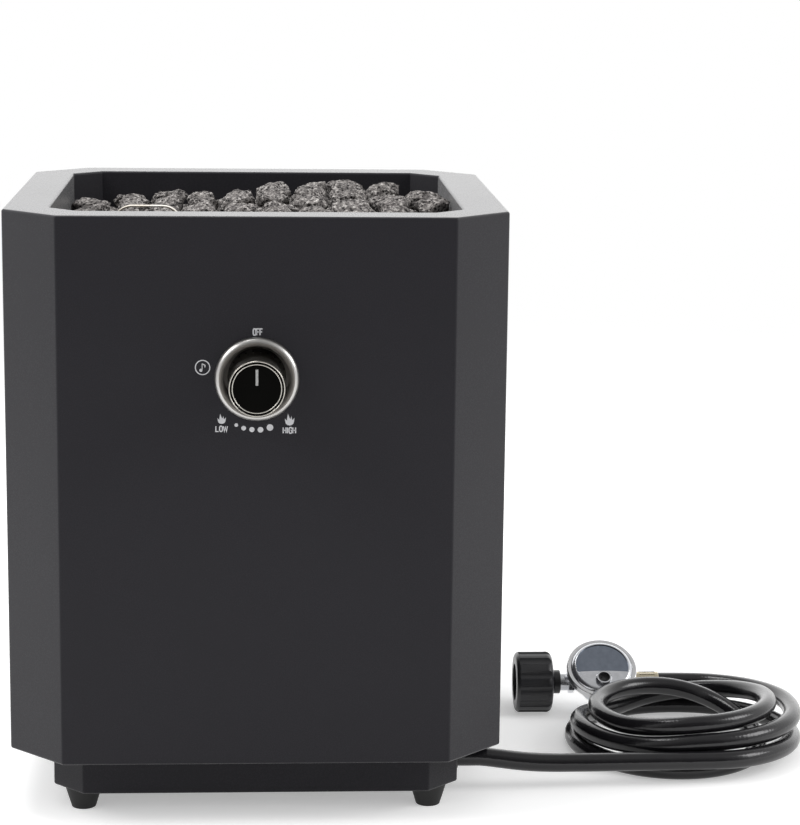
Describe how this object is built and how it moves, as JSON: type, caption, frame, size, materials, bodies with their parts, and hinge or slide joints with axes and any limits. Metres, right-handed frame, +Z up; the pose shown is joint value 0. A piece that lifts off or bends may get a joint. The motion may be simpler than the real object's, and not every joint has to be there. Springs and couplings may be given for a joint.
{
  "type": "tabletop gas fire pit",
  "caption": "Eight-sided steel gas fire bowl on a recessed plinth, with lava stones, a push-and-turn knob in a bright bezel, and a coiled hose with regulator and hand nut.",
  "frame": {"origin": "on the floor under the middle of the body and knob together, the hose left out", "axes": "+Z up, the knob faces -Y, +X is the side where the hose comes out"},
  "size_m": [0.6844, 0.445, 0.495],
  "materials": {
    "powder_coat": "fine-textured satin charcoal powder coat",
    "powder_coat_base": "fine-textured satin charcoal powder coat, darker in the shade",
    "foot_rubber": "matt black moulded rubber",
    "plated_steel": "zinc-plated steel",
    "bowl_steel": "matt heat-proof black paint on steel",
    "stainless": "stainless steel, a little heat-tinted",
    "ceramic": "white glazed ceramic",
    "module_plastic": "black moulded plastic",
    "lava": "rough porous grey lava rock",
    "bezel_steel": "bright brushed metal, grain running round the ring",
    "knob_black": "black moulded plastic, glossy face",
    "trim_chrome": "bright chrome",
    "valve_brass": "machined brass",
    "hose_rubber": "black rubber with a fine cloth-wrapped texture",
    "ferrule_brass": "pale plated brass with crimp flats",
    "zinc_casting": "polished zinc die casting",
    "clamp_steel": "bright rolled steel",
    "nut_plastic": "matt black moulded plastic"
  },
  "bodies": {
    "fire_pit": {"outer_shell": "powder_coat", "base_plinth": "powder_coat_base", "bottom_plate": "powder_coat_base", "rubber_feet": "foot_rubber", "foot_screws": "plated_steel", "foot_nuts": "plated_steel", "base_screws": "plated_steel", "shell_screws": "plated_steel", "fire_bowl": "bowl_steel", "burner_drum": "stainless", "burner_riser": "stainless", "riser_nut": "plated_steel", "igniter_ceramic": "ceramic", "igniter_electrode": "stainless", "igniter_guard": "stainless", "igniter_module": "module_plastic", "sound_module": "module_plastic", "lava_stones": "lava", "knob_bezel": "bezel_steel", "valve_body": "valve_brass", "valve_bracket": "plated_steel", "valve_screws": "plated_steel", "gas_jet": "valve_brass", "hose_grommet": "foot_rubber", "hose_inner": "hose_rubber", "hose_end_fitting": "valve_brass", "hose_run": "hose_rubber", "hose_coil": "hose_rubber", "hose_ferrule": "ferrule_brass", "regulator_body": "zinc_casting", "regulator_cover": "zinc_casting", "regulator_clamp_ring": "clamp_steel", "regulator_vent_cap": "module_plastic", "inlet_nipple": "valve_brass"},
    "valve_plug": {"valve_plug": "valve_brass"},
    "knob": {"control_knob": "knob_black", "knob_trim_rings": "trim_chrome", "knob_pointer": "trim_chrome", "valve_stem": "plated_steel"},
    "hand_nut": {"coupling_nut": "nut_plastic"}
  },
  "joints": [
    {"name": "knob_turn", "type": "hinge", "parent": "fire_pit", "child": "valve_plug", "pos_m": [0, -0.1775, 0.3682], "axis": [0, -1, 0], "range_deg": [0, 215]},
    {"name": "knob_push", "type": "slide", "parent": "valve_plug", "child": "knob", "axis": [0, 1, 0], "range_m": [0, 0.0045], "stiffness_N_per_m": 600, "springref_m": -0.003},
    {"name": "nut_spin", "type": "hinge", "parent": "fire_pit", "child": "hand_nut", "pos_m": [0.257, 0.1275, 0.0283], "axis": [1, 0, 0], "continuous": true}
  ]
}
